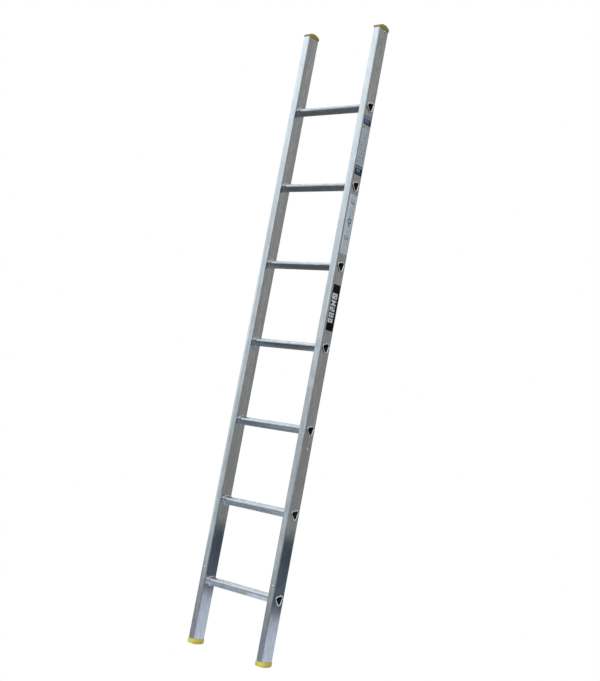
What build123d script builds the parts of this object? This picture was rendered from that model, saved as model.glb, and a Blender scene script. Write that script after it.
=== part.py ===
from build123d import *
import os

os.makedirs("parts", exist_ok=True)

# A single-section aluminium ladder standing upright, in millimetres. +Z runs up the ladder, +X across
# it, and the climber stands on the -Y side. The origin is on the ground, midway between the stiles.

# Rungs
RUNG_COUNT = 7
RUNG_PITCH = 280.0
FIRST_RUNG = 198.0  # lowest rung's axis above the stiles' cut ends
TOP_LENGTH = 281.0  # stiles' cut ends above the highest rung's axis
RUNG_OFFSET = 3.5  # the rungs' axes lie this far behind the middle of the stiles
TREAD_TILT = 15.0  # degrees, so that the treads are level when the ladder leans at 75 degrees
TREAD_HALF = 18.5
TREAD_HEIGHT = 14.5
TREAD_CORNER = 7.0
APEX_HALF = 4.5
APEX_DEPTH = 13.0
APEX_CORNER = 4.5
RUNG_WALL = 1.5
GROOVE_COUNT = 5
GROOVE_PITCH = 2.5
GROOVE_WIDTH = 1.25
GROOVE_DEPTH = 0.6
HOLE_CLEARANCE = 0.1

# Swaged joints between rungs and stiles
LIP_REACH = 3.5  # how far the flared end covers the web around its hole
LIP_HEIGHT = 2.6
LIP_ROUND = 2.0
MOUTH_ROUND = 2.8  # inside edge of the lip, as far in as the rung's wall
BEAD_REACH = 3.0
BEAD_HEIGHT = 2.4
BEAD_ROUND = 1.6

# Stiles
LADDER_WIDTH = 342.0
STILE_WIDTH = 25.0
STILE_DEPTH = 54.0
STILE_CORNER = 4.0
WEB_WALL = 1.6
FLANGE_WALL = 2.2
STILE_LENGTH = FIRST_RUNG + (RUNG_COUNT - 1) * RUNG_PITCH + TOP_LENGTH

# Feet and top caps
CAP_OVERHANG = 2.0
CAP_ROUND = 1.0
SOLE_DROP = 17.5  # the sole's lowest strip below the stile
SOLE_FRONT_DROP = 12.0
SOLE_BACK_DROP = 10.5
SOLE_FLAT_FRONT = -13.0
SOLE_FLAT_BACK = 12.0
GRIP_COUNT = 9
GRIP_PITCH = 5.0
GRIP_WIDTH = 1.6
GRIP_DEPTH = 1.0
CROWN_EDGE = 5.0
CROWN_HEIGHT = 15.0
PLUG_LENGTH = 38.0
PLUG_GAP = 0.3
PLUG_WALL = 3.0
PLUG_RIB = 2.4
PLUG_CORNER = 1.5

# Rivets
RIVET_HEAD_RADIUS = 4.6
RIVET_HEAD_HEIGHT = 2.0
RIVET_SHANK_RADIUS = 2.4
RIVET_TAIL_RADIUS = 3.4
RIVET_TAIL_LENGTH = 2.6
RIVET_CLEARANCE = 0.1
FOOT_RIVET_RISE = 11.0  # above the stile's bottom end
CAP_RIVET_DROP = 7.0  # below the stile's top end
CAP_RIVET_DEPTH = 5.0  # the end fittings' rivets lie this far behind the middle of the web
FRONT_RIVET_RISE = 44.5  # above the lowest rung's axis
WEB_RIVET_DEPTH = 8.0
WEB_RIVET_RISE = 698.5  # above the stile's bottom end

# Labels on the right stile's outer web: front edge, back edge, bottom and top above the stile's end
LABEL_THICKNESS = 0.3
LABEL_CORNER = 2.0
INSTRUCTION_LABEL = (-17.0, 22.0, 1639.0, 1847.0)
RATING_LABEL = (-16.0, 22.0, 1364.0, 1570.0)
STRIPE_LABEL = (-15.0, 22.0, 1099.0, 1257.0)

STILE_BOTTOM = SOLE_DROP
STILE_TOP = STILE_BOTTOM + STILE_LENGTH
OUTER_WEB = LADDER_WIDTH / 2
INNER_WEB = OUTER_WEB - STILE_WIDTH
STILE_CENTRE = OUTER_WEB - STILE_WIDTH / 2
SIDES = {"left": -1, "right": 1}


def side_plane(x, y=0.0, z=0.0):
    """Plane facing +X, drawn on with Y across and Z up."""
    return Plane(origin=(x, y, z), x_dir=(0, 1, 0), z_dir=(1, 0, 0))


def rung_height(index):
    return STILE_BOTTOM + FIRST_RUNG + index * RUNG_PITCH


def rung_outline(margin=0.0):
    """Rounded triangle with its point down, grown by a margin."""
    corners = [
        (-APEX_HALF, -APEX_DEPTH),
        (APEX_HALF, -APEX_DEPTH),
        (TREAD_HALF, TREAD_HEIGHT),
        (-TREAD_HALF, TREAD_HEIGHT),
    ]
    outline = make_face(Polyline(*corners, close=True))
    outline = fillet(outline.vertices().group_by(Axis.Y)[-1], TREAD_CORNER)
    outline = fillet(outline.vertices().group_by(Axis.Y)[0], APEX_CORNER)
    if margin:
        outline = offset(outline, margin)
    return Rot(0, 0, TREAD_TILT) * outline


def tread_grooves():
    """Cutters for the row of anti-slip grooves across the flat of the tread."""
    grooves = GridLocations(GROOVE_PITCH, 0, GROOVE_COUNT, 1) * Rectangle(GROOVE_WIDTH, 2 * GROOVE_DEPTH)
    return [Rot(0, 0, TREAD_TILT) * Pos(0, TREAD_HEIGHT) * groove for groove in grooves]


def collar(margin, x, z, direction, height, rounding):
    """Ring that grows from the web at x in the given direction, rounded where it faces away from the web."""
    ring = extrude(side_plane(x, RUNG_OFFSET, z) * rung_outline(margin), direction * height)
    free_face = max(ring.faces(), key=lambda face: direction * face.center().X)
    return fillet(free_face.edges(), rounding)


def rung(index):
    """Hollow rung with a bead against each inner web and a flared lip on each outer web."""
    z = rung_height(index)
    reach = OUTER_WEB + LIP_HEIGHT
    section = rung_outline() - tread_grooves()
    body = extrude(side_plane(-OUTER_WEB, RUNG_OFFSET, z) * section, 2 * OUTER_WEB)
    for side in SIDES.values():
        body += collar(LIP_REACH, side * OUTER_WEB, z, side, LIP_HEIGHT, LIP_ROUND)
        body += collar(BEAD_REACH, side * INNER_WEB, z, -side, BEAD_HEIGHT, BEAD_ROUND)
    bore = extrude(side_plane(-reach, RUNG_OFFSET, z) * rung_outline(-RUNG_WALL), 2 * reach)
    body -= bore
    mouths = [edge for edge in body.edges() if abs(abs(edge.center().X) - reach) < MOUTH_ROUND / 2]
    return fillet(mouths, MOUTH_ROUND)


def rivet(seat, grip):
    """Blind rivet with its domed head on the seat plane and its tail beyond the grip behind it."""
    dome_radius = (RIVET_HEAD_RADIUS**2 + RIVET_HEAD_HEIGHT**2) / (2 * RIVET_HEAD_HEIGHT)
    dome = Pos(0, 0, RIVET_HEAD_HEIGHT - dome_radius) * Sphere(dome_radius)
    head = extrude(Circle(RIVET_HEAD_RADIUS), RIVET_HEAD_HEIGHT) & dome
    shank = extrude(Circle(RIVET_SHANK_RADIUS), -grip)
    tail = Pos(0, 0, -grip) * extrude(Circle(RIVET_TAIL_RADIUS), -RIVET_TAIL_LENGTH)
    return seat.location * (head + shank + tail)


def outer_web_plane(side, y, z):
    """Plane on a stile's outer web that faces away from the ladder."""
    return Plane(origin=(side * OUTER_WEB, y, z), x_dir=(0, side, 0), z_dir=(side, 0, 0))


def front_flange_plane(side):
    """Plane on the middle of a stile's front flange, at its rivet."""
    z = rung_height(0) + FRONT_RIVET_RISE
    return Plane(origin=(side * STILE_CENTRE, -STILE_DEPTH / 2, z), x_dir=(1, 0, 0), z_dir=(0, -1, 0))


def rivet_seats(side):
    """Every rivet on one stile, as its name, its seat plane and its grip."""
    through_plug = WEB_WALL + PLUG_GAP + PLUG_WALL
    seats = {
        "foot_rivet": (outer_web_plane(side, CAP_RIVET_DEPTH, STILE_BOTTOM + FOOT_RIVET_RISE), through_plug),
        "top_cap_rivet": (outer_web_plane(side, CAP_RIVET_DEPTH, STILE_TOP - CAP_RIVET_DROP), through_plug),
        "front_rivet": (front_flange_plane(side), FLANGE_WALL),
    }
    if side == SIDES["right"]:
        seats["web_rivet"] = (outer_web_plane(side, WEB_RIVET_DEPTH, STILE_BOTTOM + WEB_RIVET_RISE), WEB_WALL)
    return seats


def rivet_holes(side):
    """Cutters for the shanks of one stile's rivets."""
    hole = Circle(RIVET_SHANK_RADIUS + RIVET_CLEARANCE)
    return [extrude(seat * hole, -grip) for seat, grip in rivet_seats(side).values()]


def stile(side):
    """Closed box section with a rounded triangular hole through both webs at each rung."""
    outer = RectangleRounded(STILE_WIDTH, STILE_DEPTH, STILE_CORNER)
    inner = RectangleRounded(STILE_WIDTH - 2 * WEB_WALL, STILE_DEPTH - 2 * FLANGE_WALL, STILE_CORNER - WEB_WALL)
    tube = Pos(side * STILE_CENTRE, 0, STILE_BOTTOM) * extrude(outer - inner, STILE_LENGTH)
    start = side * STILE_CENTRE - STILE_WIDTH
    for index in range(RUNG_COUNT):
        hole = side_plane(start, RUNG_OFFSET, rung_height(index)) * rung_outline(HOLE_CLEARANCE)
        tube -= extrude(hole, 2 * STILE_WIDTH)
    return tube - rivet_holes(side)


def plug():
    """Hollow plug standing on the XY plane, open at its far end, with one rib across its middle."""
    width = STILE_WIDTH - 2 * WEB_WALL - 2 * PLUG_GAP
    depth = STILE_DEPTH - 2 * FLANGE_WALL - 2 * PLUG_GAP
    outer = RectangleRounded(width, depth, PLUG_CORNER)
    hollow = Rectangle(width - 2 * PLUG_WALL, depth - 2 * PLUG_WALL)
    rib = Rectangle(width - PLUG_WALL, PLUG_RIB)
    return extrude(outer - hollow + rib, PLUG_LENGTH)


def cap_block(outline):
    """Side outline of a foot or top cap, drawn with its stile's cut end at zero, made into a solid."""
    width = STILE_WIDTH + 2 * CAP_OVERHANG
    depth = STILE_DEPTH + 2 * CAP_OVERHANG
    plan = RectangleRounded(width, depth, STILE_CORNER + CAP_OVERHANG)
    block = extrude(side_plane(-width / 2) * outline, width)
    return block & Pos(0, 0, -depth / 2) * extrude(plan, depth)


def sole_outline():
    """Foot's side outline: two arcs that rise from a flat strip to the front and back edges."""
    half = STILE_DEPTH / 2 + CAP_OVERHANG
    front = (-half, -SOLE_FRONT_DROP)
    back = (half, -SOLE_BACK_DROP)
    flat_front = (SOLE_FLAT_FRONT, -SOLE_DROP)
    flat_back = (SOLE_FLAT_BACK, -SOLE_DROP)
    outline = Line((half, 0), (-half, 0)) + Line((-half, 0), front)
    outline += TangentArc(flat_front, front, tangent=(-1, 0)) + Line(flat_front, flat_back)
    outline += TangentArc(flat_back, back, tangent=(1, 0)) + Line(back, (half, 0))
    return make_face(outline)


def foot(side):
    """Foot with a rocker sole, cross grooves for grip and a plug that fills the stile's end."""
    outline = sole_outline()
    block = cap_block(outline)
    rim = block.edges().filter_by_position(Axis.Z, -SOLE_DROP, -SOLE_BACK_DROP)
    block = fillet(rim, CAP_ROUND)
    skin = outline - Pos(0, GRIP_DEPTH) * outline
    for slot in GridLocations(GRIP_PITCH, 0, GRIP_COUNT, 1) * Rectangle(GRIP_WIDTH, 3 * SOLE_DROP):
        block -= extrude(side_plane(-STILE_WIDTH) * (skin & slot), 2 * STILE_WIDTH)
    return Pos(side * STILE_CENTRE, 0, STILE_BOTTOM) * (block + plug()) - rivet_holes(side)


def top_cap(side):
    """Cap with a domed crown and a plug that fills the stile's end."""
    half = STILE_DEPTH / 2 + CAP_OVERHANG
    crown = ThreePointArc((half, CROWN_EDGE), (0, CROWN_HEIGHT), (-half, CROWN_EDGE))
    sides = Line((-half, CROWN_EDGE), (-half, 0)) + Line((-half, 0), (half, 0)) + Line((half, 0), (half, CROWN_EDGE))
    block = cap_block(make_face(crown + sides))
    rim = block.edges().filter_by_position(Axis.Z, CROWN_EDGE, CROWN_HEIGHT)
    solid = fillet(rim, CAP_ROUND) + Rot(180, 0, 0) * plug()
    return Pos(side * STILE_CENTRE, 0, STILE_TOP) * solid - rivet_holes(side)


def label(front, back, bottom, top):
    """Thin printed sticker on the right stile's outer web."""
    centre = (front + back) / 2
    height = STILE_BOTTOM + (bottom + top) / 2
    seat = outer_web_plane(SIDES["right"], centre, height)
    return extrude(seat * RectangleRounded(back - front, top - bottom, LABEL_CORNER), LABEL_THICKNESS)


def ladder():
    """Every piece of the ladder by name."""
    pieces = {}
    for index in range(RUNG_COUNT):
        pieces[f"rung_{index + 1}"] = rung(index)
    for name, side in SIDES.items():
        pieces[f"stile_{name}"] = stile(side)
        pieces[f"foot_{name}"] = foot(side)
        pieces[f"top_cap_{name}"] = top_cap(side)
        for kind, (seat, grip) in rivet_seats(side).items():
            pieces[f"{kind}_{name}"] = rivet(seat, grip)
    pieces["instruction_label"] = label(*INSTRUCTION_LABEL)
    pieces["rating_label"] = label(*RATING_LABEL)
    pieces["stripe_label"] = label(*STRIPE_LABEL)
    return pieces


for piece_name, piece in ladder().items():
    export_step(piece, f"parts/{piece_name}.step")
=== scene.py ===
import math

import bmesh
import bpy
from bpy.props import FloatProperty, FloatVectorProperty, PointerProperty
from mathutils import Matrix, Vector


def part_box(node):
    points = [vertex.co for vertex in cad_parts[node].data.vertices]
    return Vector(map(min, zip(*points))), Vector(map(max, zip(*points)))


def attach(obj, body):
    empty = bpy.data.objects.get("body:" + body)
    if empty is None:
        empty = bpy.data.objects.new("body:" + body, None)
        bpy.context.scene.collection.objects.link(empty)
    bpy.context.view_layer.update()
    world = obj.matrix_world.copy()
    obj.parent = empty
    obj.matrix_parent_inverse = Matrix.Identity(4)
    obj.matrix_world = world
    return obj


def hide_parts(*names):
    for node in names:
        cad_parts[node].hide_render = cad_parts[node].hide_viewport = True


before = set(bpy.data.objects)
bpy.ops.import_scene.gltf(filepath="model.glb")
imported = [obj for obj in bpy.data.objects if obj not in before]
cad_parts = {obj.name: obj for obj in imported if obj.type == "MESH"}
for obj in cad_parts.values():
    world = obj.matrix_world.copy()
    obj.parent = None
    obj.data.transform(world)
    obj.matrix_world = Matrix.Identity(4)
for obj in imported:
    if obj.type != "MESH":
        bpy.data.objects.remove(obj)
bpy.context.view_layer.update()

bl_info = {
    "name": "Ladder Section",
    "version": (1, 0, 0),
    "blender": (4, 5, 0),
    "location": "View3D > Sidebar > Ladder",
    "description": "Builds a straight ladder section with swaged rungs, feet, caps, rivets and stickers",
    "category": "Object",
}

# Everything is in metres: +Z runs up the ladder, +X across it, and the climber stands on the -Y side.
BODY = "root"
RUNGS = sorted(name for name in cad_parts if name.startswith("rung_"))
RIVETS = sorted(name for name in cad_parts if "_rivet_" in name)
STICKERS = sorted(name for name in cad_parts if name.endswith("_label"))
STILE_LOW, STILE_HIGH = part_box("stile_right")
INNER_WEB, OUTER_WEB = STILE_LOW.x, STILE_HIGH.x
STILE_BACK = STILE_HIGH.y
TINY = 1e-5

# Rung section, with its tread's middle above its axis
TREAD_HALF = 0.0185
TREAD_HEIGHT = 0.0145
APEX_HALF = 0.0045
APEX_DEPTH = 0.013
TREAD_TILT = math.radians(15)
TREAD_STRIPS = 11  # every second strip of the flat is a groove
# Past this depth the bore is painted dark as shade
MOUTH_DEPTH = 0.006  # bare metal shows this far into a rung's open end
ARC_STEPS = 6

# Feet, caps and rivets
SOLE_FLAT_FRONT = -0.013
SOLE_FLAT_BACK = 0.012
SOLE_FRONT_RISE = 0.0055
SOLE_BACK_RISE = 0.007
CROWN_EDGE = 0.005
CROWN_HEIGHT = 0.015
ROW_STEP = 0.002
GRIP_COUNT = 9
GRIP_PITCH = 0.005
GRIP_WIDTH = 0.0016
GRIP_DEPTH = 0.001
PLUG_INSET = 0.0039
PLUG_WALL = 0.003
PLUG_FLOOR = 0.002
RIVET_DOME_RADIUS = 0.00605
RIVET_HEAD_RADIUS = 0.0046
RIVET_HEAD_HEIGHT = 0.002
RIVET_SHANK_RADIUS = 0.0024
RIVET_TAIL_RADIUS = 0.0034
RIVET_TAIL_LENGTH = 0.0026
MANDREL_RADIUS = 0.0012
MANDREL_DEPTH = 0.0005
STICKER_CORNER = 0.002
# Blocks printed on the dark sticker: millimetres down to their tops and bottoms, back to their sides
PALE_BLOCKS = ((30, 50, 3, 29), (54, 73, 2, 29), (77, 92, 2, 28), (96, 112, 2, 28), (116, 130, 2, 27))
DARK_GAPS = (
    (36, 39, 10, 17), (42, 45, 16, 24), (59, 68, 1, 9), (60, 67, 21, 30), (80, 84, 17, 29),
    (86, 90, 7, 14), (100, 107, 10, 15), (102, 105, 22, 29), (120, 125, 11, 17),
)
# Inks
INK = (0.045, 0.05, 0.06)
NAVY = (0.003, 0.008, 0.03)
BLUE = (0.03, 0.10, 0.23)
PALE_BLUE = (0.22, 0.36, 0.50)
KHAKI = (0.42, 0.32, 0.12)
PALE_INK = (0.60, 0.65, 0.66)
HEAD_GREY = (0.10, 0.12, 0.15)
HEAD_BAND = (0.24, 0.27, 0.31)
DARK_KHAKI = (0.30, 0.20, 0.04)
GREEN_GREY = (0.26, 0.34, 0.27)
WHITE = (1, 1, 1)
# Print in millimetres down to its top and bottom and back to its sides, then its ink and cover
INSTRUCTION_BARS = (
    (0, 14, 0, 39, HEAD_GREY), (3, 11, 4, 34, HEAD_BAND, 0.8), (14, 32, 0, 39, NAVY), (15.5, 27, 2, 29, BLUE),
    (16.5, 20, 8, 26, PALE_BLUE, 0.5), (34, 46, 1, 14, KHAKI), (37, 43, 4, 10, DARK_KHAKI, 0.7),
    (33, 39, 17, 23, PALE_BLUE, 0.8), (34, 45, 26, 31, BLUE, 0.7), (176, 180, 0, 39, NAVY),
    (180, 184, 0, 39, PALE_BLUE, 0.8), (184, 208, 0, 39, NAVY), (187, 196, 8, 26, GREEN_GREY, 0.8),
    (197, 203, 5, 30, BLUE, 0.8),
)
RATING_BARS = (
    (4, 7, 10, 34, INK, 0.45), (12, 30, 10, 14, INK, 0.6), (14, 34, 18, 21.5, INK, 0.6),
    (18, 36, 26, 30, INK, 0.6), (27, 33, 10, 30, INK, 0.45), (98, 113, 17, 23.5, INK, 0.75),
    (145, 157, 25, 30, INK, 0.6),
)
# Small print: the same places, then the pitch of its lines, ink, cover and grain
INSTRUCTION_TEXT = (
    (50, 172, 5, 12, 14, INK, 1.0, 170), (50, 172, 16, 21, 14, INK, 0.7, 210),
    (50, 172, 27, 33, 14, INK, 1.0, 170), (48, 174, 4, 35, 5, INK, 0.15, 700),
)
RATING_TEXT = (
    (38, 80, 10, 32, 9, INK, 0.75, 300), (118, 132, 8, 32, 8, INK, 0.6, 300),
    (164, 174, 8, 30, 8, INK, 0.5, 300),
)
# Rings: down and back to the middle, radius, width, ink and cover
RATING_RINGS = ((92, 20, 10, 5, INK, 0.85), (150, 15, 8, 3.5, INK, 0.65))
# Least share of a normal that points along an axis, for a face that looks that way and for a flat one
FACING_WAY = 0.9
FLAT_WAY = 0.999
# Settings that the properties for lengths share
LENGTH = {"precision": 4, "subtype": "DISTANCE", "unit": "LENGTH"}


class LadderSizes(bpy.types.PropertyGroup):
    stile_corner: FloatProperty(
        name="Stile corner", description="Radius of a stile's four long corners",
        default=0.004, min=0.001, max=0.008, **LENGTH,
    )
    wall: FloatProperty(
        name="Wall", description="Thickness of the stile and rung walls",
        default=0.0016, min=0.0008, max=0.003, **LENGTH,
    )
    tread_corner: FloatProperty(
        name="Tread corner", description="Radius of the rung section's upper corners",
        default=0.007, min=0.004, max=0.008, **LENGTH,
    )
    apex_corner: FloatProperty(
        name="Apex corner", description="Radius of the rung section's lower corners",
        default=0.0045, min=0.002, max=0.006, **LENGTH,
    )
    groove_depth: FloatProperty(
        name="Groove depth", description="Depth of the grooves in the treads",
        default=0.0006, min=0.0002, max=0.001, **LENGTH,
    )
    lip_reach: FloatProperty(
        name="Lip reach", description="How far a rung's flared end covers the web around it",
        default=0.0035, min=0.002, max=0.0035, **LENGTH,
    )
    lip_round: FloatProperty(
        name="Lip round", description="Rounding of the flared end's rim",
        default=0.002, min=0.0005, max=0.0022, **LENGTH,
    )
    mouth_round: FloatProperty(
        name="Mouth round", description="Rounding of the flared end's open mouth",
        default=0.0028, min=0.0005, max=0.0029, **LENGTH,
    )
    bead_reach: FloatProperty(
        name="Bead reach", description="How far the bead inside a stile stands out from the rung",
        default=0.003, min=0.001, max=0.003, **LENGTH,
    )
    bead_height: FloatProperty(
        name="Bead height", description="Width of the bead along the rung",
        default=0.0024, min=0.0015, max=0.0024, **LENGTH,
    )
    cap_round: FloatProperty(
        name="Cap round", description="Rounding of the feet's and caps' rims",
        default=0.001, min=0.0003, max=0.002, **LENGTH,
    )


class LadderFinish(bpy.types.PropertyGroup):
    metal: FloatVectorProperty(
        name="Metal", description="Colour of the extruded aluminium",
        default=(0.60, 0.63, 0.65), min=0.0, max=1.0, subtype="COLOR",
    )
    rivet: FloatVectorProperty(
        name="Rivets", description="Colour of the rivets",
        default=(0.52, 0.54, 0.56), min=0.0, max=1.0, subtype="COLOR",
    )
    plastic: FloatVectorProperty(
        name="Plastic", description="Colour of the feet and caps",
        default=(0.72, 0.58, 0.05), min=0.0, max=1.0, subtype="COLOR",
    )
    sticker: FloatVectorProperty(
        name="Sticker", description="Ground colour of the printed stickers",
        default=(0.47, 0.51, 0.54), min=0.0, max=1.0, subtype="COLOR",
    )
    dark_sticker: FloatVectorProperty(
        name="Dark sticker", description="Ground colour of the dark sticker",
        default=(0.003, 0.004, 0.007), min=0.0, max=1.0, subtype="COLOR",
    )
    roughness: FloatProperty(
        name="Roughness", description="Mean roughness of the aluminium",
        default=0.035, min=0.02, max=0.8, subtype="FACTOR",
    )


class LadderStudio(bpy.types.PropertyGroup):
    lens: FloatProperty(
        name="Lens", description="Focal length on a 36 mm frame",
        default=61.72, min=20.0, max=200.0, subtype="DISTANCE_CAMERA",
    )
    room: FloatProperty(
        name="Room", description="Brightness of the room's walls",
        default=1.0, min=0.0, max=5.0, subtype="FACTOR",
    )


# ---- Modelling helpers -------------------------------------------------------------------------

def start_piece(name):
    """Names the primitive that was just added and opens it for editing."""
    piece = bpy.context.object
    piece.name = name
    piece.data.name = name
    bpy.ops.object.mode_set(mode="EDIT")
    return piece


def new_cube(name):
    """Unit cube round the origin, opened for editing."""
    bpy.ops.object.select_all(action="DESELECT")
    bpy.ops.mesh.primitive_cube_add(size=1)
    return start_piece(name)


def close_piece():
    """Leaves edit mode."""
    bpy.ops.object.mode_set(mode="OBJECT")


def only(piece):
    """Makes one object the selection and the active object."""
    bpy.ops.object.select_all(action="DESELECT")
    piece.select_set(True)
    bpy.context.view_layer.objects.active = piece


def join(pieces):
    """Joins pieces into the first of them."""
    only(pieces[0])
    for piece in pieces:
        piece.select_set(True)
    bpy.ops.object.join()
    return pieces[0]


def resize(factors):
    """Scales what is selected about the origin."""
    bpy.ops.transform.resize(value=factors, center_override=(0, 0, 0))


def pick(piece, kind, test):
    """Selects the vertices, edges or faces that pass the test, in edit mode."""
    bpy.ops.mesh.select_mode(type=kind)
    bpy.ops.mesh.select_all(action="DESELECT")
    mesh = bmesh.from_edit_mesh(piece.data)
    mesh.normal_update()
    for item in {"VERT": mesh.verts, "EDGE": mesh.edges, "FACE": mesh.faces}[kind]:
        if test(item):
            item.select_set(True)
    mesh.select_flush_mode()
    bmesh.update_edit_mesh(piece.data)


def extrude(offset):
    """Extrudes what is selected by an offset."""
    bpy.ops.mesh.extrude_region_move(TRANSFORM_OT_translate={"value": offset})


def swell(distance):
    """Extrudes the selected band of faces outwards by an even distance."""
    bpy.ops.mesh.extrude_region_shrink_fatten(
        TRANSFORM_OT_shrink_fatten={"value": distance, "use_even_offset": True}
    )


def round_edges(radius, segments):
    """Bevels the selected edges."""
    bpy.ops.mesh.bevel(offset=radius, segments=segments, affect="EDGES", clamp_overlap=False)


def cut_across(axis, place):
    """Cuts the whole piece with a plane across one axis."""
    normal = Vector((0, 0, 0))
    normal[axis] = 1
    bpy.ops.mesh.select_all(action="SELECT")
    bpy.ops.mesh.bisect(plane_co=normal * place, plane_no=normal, threshold=ROW_STEP / 10)


def apply_modifier(piece, kind, **settings):
    """Adds a modifier to a piece and applies it."""
    only(piece)
    modifier = piece.modifiers.new(kind.title(), kind)
    for name, value in settings.items():
        setattr(modifier, name, value)
    bpy.ops.object.modifier_apply(modifier=modifier.name)


def carve(piece, cutter):
    """Cuts a cutter's shape out of a piece and removes the cutter."""
    apply_modifier(piece, "BOOLEAN", operation="DIFFERENCE", solver="EXACT", object=cutter)
    bpy.data.objects.remove(cutter)


def turn_mesh(piece, matrix):
    """Turns or moves a piece, leaving its object at the origin."""
    only(piece)
    piece.matrix_world = matrix
    bpy.ops.object.transform_apply(location=True, rotation=True, scale=True)


def mesh_box(piece):
    """Lowest and highest corners of a piece's mesh."""
    places = [vertex.co for vertex in piece.data.vertices]
    low = Vector(min(place[axis] for place in places) for axis in range(3))
    high = Vector(max(place[axis] for place in places) for axis in range(3))
    return low, high


def seat_on(piece, node):
    """Moves a piece so that the middle of its box is the middle of its CAD node's box."""
    low, high = mesh_box(piece)
    cad_low, cad_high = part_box(node)
    turn_mesh(piece, Matrix.Translation((cad_low + cad_high - low - high) / 2))


def copy_of(piece, name):
    """Copy of a piece, with a mesh of its own."""
    twin = piece.copy()
    twin.data = piece.data.copy()
    twin.name = name
    twin.data.name = name
    bpy.context.collection.objects.link(twin)
    return twin


def finish_piece(piece, node, angle=35):
    """Points faces outwards, shades a piece, and hands it to the frame in place of its CAD node."""
    only(piece)
    bpy.ops.object.mode_set(mode="EDIT")
    bpy.ops.mesh.select_all(action="SELECT")
    bpy.ops.mesh.remove_doubles(threshold=TINY / 10)
    bpy.ops.mesh.normals_make_consistent(inside=False)
    bpy.ops.object.mode_set(mode="OBJECT")
    bpy.ops.object.shade_smooth_by_angle(angle=math.radians(angle))
    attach(piece, BODY)
    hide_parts(node)


# ---- Rungs and stiles ------------------------------------------------------------------------------

def rung_outline(sizes, name):
    """Flat rounded triangle, point down, drawn round its axis in the XY plane and left open for editing."""
    bpy.ops.object.select_all(action="DESELECT")
    bpy.ops.mesh.primitive_plane_add(size=1)
    piece = start_piece(name)
    height = TREAD_HEIGHT + APEX_DEPTH
    bpy.ops.mesh.select_all(action="SELECT")
    resize((2 * TREAD_HALF, height, 1))
    bpy.ops.transform.translate(value=(0, (TREAD_HEIGHT - APEX_DEPTH) / 2, 0))
    pick(piece, "VERT", lambda vertex: vertex.co.y < 0)
    resize((APEX_HALF / TREAD_HALF, 1, 1))
    lean = math.atan2(TREAD_HALF - APEX_HALF, height)
    corners = (
        (True, math.pi / 2 - lean, sizes.tread_corner),
        (False, math.pi / 2 + lean, sizes.apex_corner),
    )
    for upper, corner, radius in corners:
        pick(piece, "VERT", lambda vertex: (vertex.co.y > 0) == upper)
        tangent = radius / math.tan(corner / 2)
        bpy.ops.mesh.bevel(offset=tangent, segments=ARC_STEPS, affect="VERTICES")
    return piece


def rung_axes():
    """Matrix that lays the rung section across the ladder, with its tread tilted to the climber."""
    across = Vector((0, math.cos(TREAD_TILT), math.sin(TREAD_TILT)))
    upwards = Vector((0, -math.sin(TREAD_TILT), math.cos(TREAD_TILT)))
    along = Vector((1, 0, 0))
    return Matrix((across, upwards, along)).transposed().to_4x4()


def half_rung(sizes):
    """Half of a rung along +Z: grooved span, bead, hidden neck and flared lip, with the bore open."""
    piece = rung_outline(sizes, RUNGS[0])
    pick(piece, "EDGE", lambda edge: all(v.co.y > TREAD_HEIGHT - TINY for v in edge.verts))
    bpy.ops.mesh.subdivide(number_cuts=TREAD_STRIPS - 1)
    tread = [v.co.x for v in bmesh.from_edit_mesh(piece.data).verts if v.co.y > TREAD_HEIGHT - TINY]
    strip = (max(tread) - min(tread)) / TREAD_STRIPS
    lip_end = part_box(RUNGS[0])[1].x
    levels = (0, INNER_WEB - sizes.bead_height, INNER_WEB, OUTER_WEB, lip_end)
    bpy.ops.mesh.select_all(action="SELECT")
    for lower, upper in zip(levels, levels[1:]):
        extrude((0, 0, upper - lower))
    bead_start, bead_end, neck_end = levels[1:4]

    def in_groove(face):
        middle = face.calc_center_median()
        odd = int((middle.x - min(tread)) / strip) % 2 == 1
        return middle.y > TREAD_HEIGHT - TINY and face.normal.y > FACING_WAY and middle.z < bead_start and odd

    pick(piece, "FACE", in_groove)
    extrude((0, -sizes.groove_depth, 0))
    for low, high, reach in ((bead_start, bead_end, sizes.bead_reach), (neck_end, lip_end, sizes.lip_reach)):
        middle = (low + high) / 2
        pick(piece, "FACE", lambda face: abs(face.calc_center_median().z - middle) < TINY)
        swell(reach)

    def on_end(face):
        return face.normal.z > FACING_WAY and face.calc_center_median().z > lip_end - TINY

    pick(piece, "FACE", on_end)
    bpy.ops.mesh.dissolve_faces()
    bpy.ops.mesh.inset(thickness=sizes.lip_reach + sizes.wall)
    extrude((0, 0, -MOUTH_DEPTH))
    extrude((0, 0, MOUTH_DEPTH - lip_end))
    pick(piece, "FACE", lambda face: all(abs(v.co.z) < TINY for v in face.verts))
    bpy.ops.mesh.delete(type="FACE")

    def bead_rim(edge):
        flat = all(abs(v.co.z - bead_start) < TINY for v in edge.verts)
        beside = [f for f in edge.link_faces if f.calc_center_median().z > bead_start + TINY]
        return flat and any(abs(f.normal.z) < 0.5 for f in beside)

    def lip_rim(edge, facing):
        flat = all(abs(v.co.z - lip_end) < TINY for v in edge.verts)
        sides = [f.normal.dot(f.calc_center_median().xy.to_3d()) * facing for f in edge.link_faces]
        return flat and max(sides) > TINY

    pick(piece, "EDGE", bead_rim)
    round_edges(sizes.bead_height * 0.65, 4)
    pick(piece, "EDGE", lambda edge: lip_rim(edge, 1))
    round_edges(sizes.lip_round, 5)
    pick(piece, "EDGE", lambda edge: lip_rim(edge, -1))
    round_edges(sizes.mouth_round, 6)
    close_piece()
    return piece


def paint_bore(piece):
    """Gives the bore the piece's second material, which paints shade into the bore: only its faces run from
    the middle past the inner web.
    """
    for face in piece.data.polygons:
        reach = [abs(piece.data.vertices[index].co.x) for index in face.vertices]
        face.material_index = int(min(reach) < TINY and max(reach) > INNER_WEB)


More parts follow.
